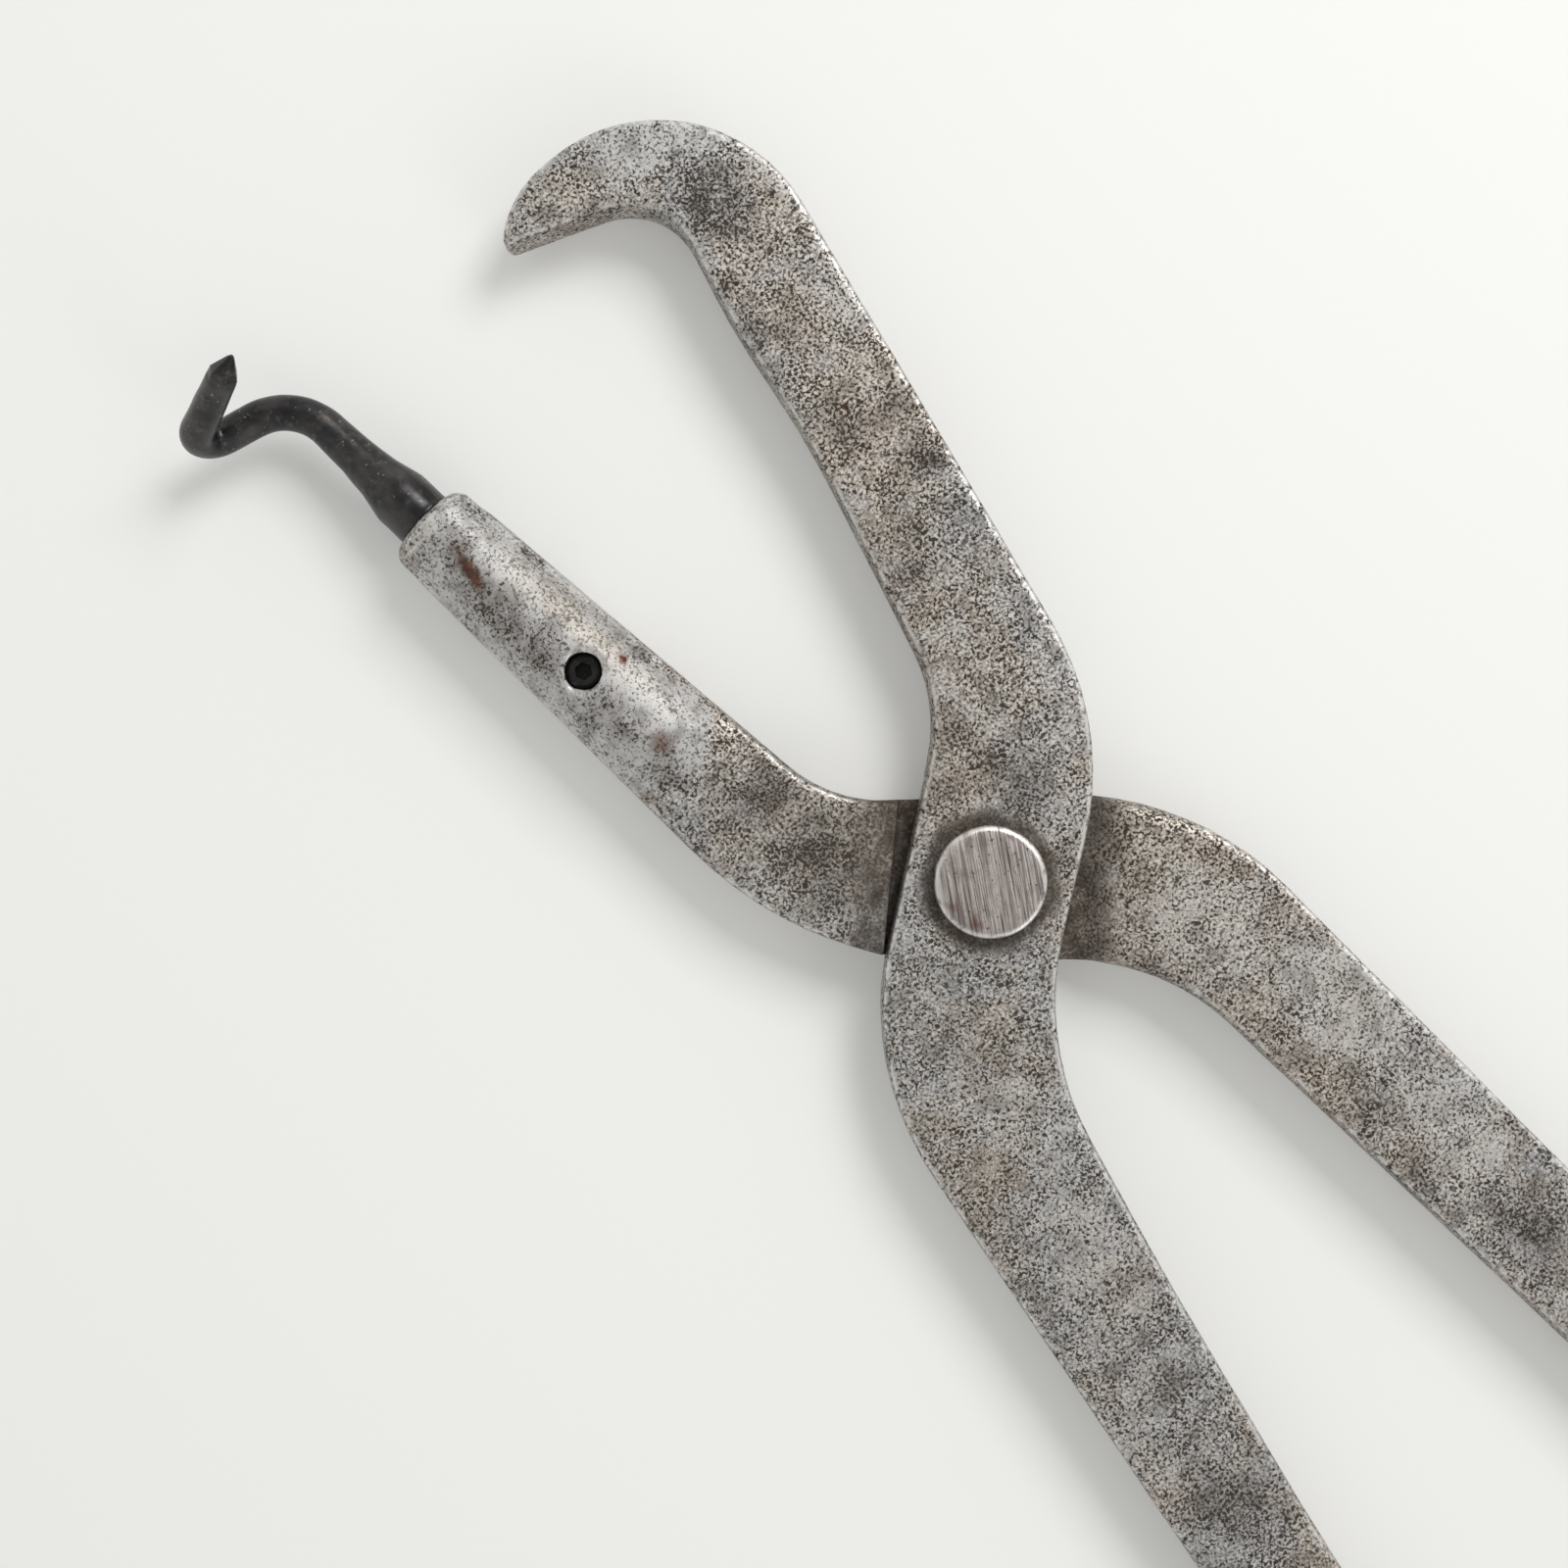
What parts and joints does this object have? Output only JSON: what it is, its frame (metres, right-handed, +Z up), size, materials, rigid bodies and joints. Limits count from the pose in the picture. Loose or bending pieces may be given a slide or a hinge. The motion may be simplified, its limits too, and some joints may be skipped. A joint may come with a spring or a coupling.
{
  "type": "brake spring pliers",
  "caption": "Lap-jointed forged pliers with a flat hooked claw on one lever and a removable hooked rod in a round socket on the other.",
  "frame": {"origin": "where the pivot axis meets the bench, under the rivet's tail", "axes": "+Z up out of the bench along the pivot axis, +Y from the handles to the jaws, +X towards the claw side"},
  "size_m": [0.0961, 0.345, 0.0222],
  "materials": {
    "claw_lever_steel": "bare forged steel, finely pitted, edges worn bright",
    "socket_lever_steel": "bare forged steel, finely pitted, edges worn bright",
    "ground_rivet": "ground across with straight scratches",
    "black_hook": "black oxide, satin",
    "black_screw": "black oxide, satin"
  },
  "bodies": {
    "socket_lever": {"socket_lever": "socket_lever_steel", "pivot_rivet": "ground_rivet"},
    "claw_lever": {"claw_lever": "claw_lever_steel"},
    "spring_hook": {"spring_hook": "black_hook"},
    "hook_set_screw": {"hook_set_screw": "black_screw"}
  },
  "joints": [
    {"name": "pivot", "type": "hinge", "parent": "socket_lever", "child": "claw_lever", "pos_m": [0, 0, 0], "axis": [0, 0, 1], "range_deg": [0, 14]},
    {"name": "hook_slide", "type": "slide", "parent": "socket_lever", "child": "spring_hook", "axis": [-0.1167, 0.9932, 0], "range_m": [0, 0.03]},
    {"name": "set_screw_lift", "type": "slide", "parent": "socket_lever", "child": "hook_set_screw", "axis": [0, 0, 1], "range_m": [0, 0.0015]}
  ]
}
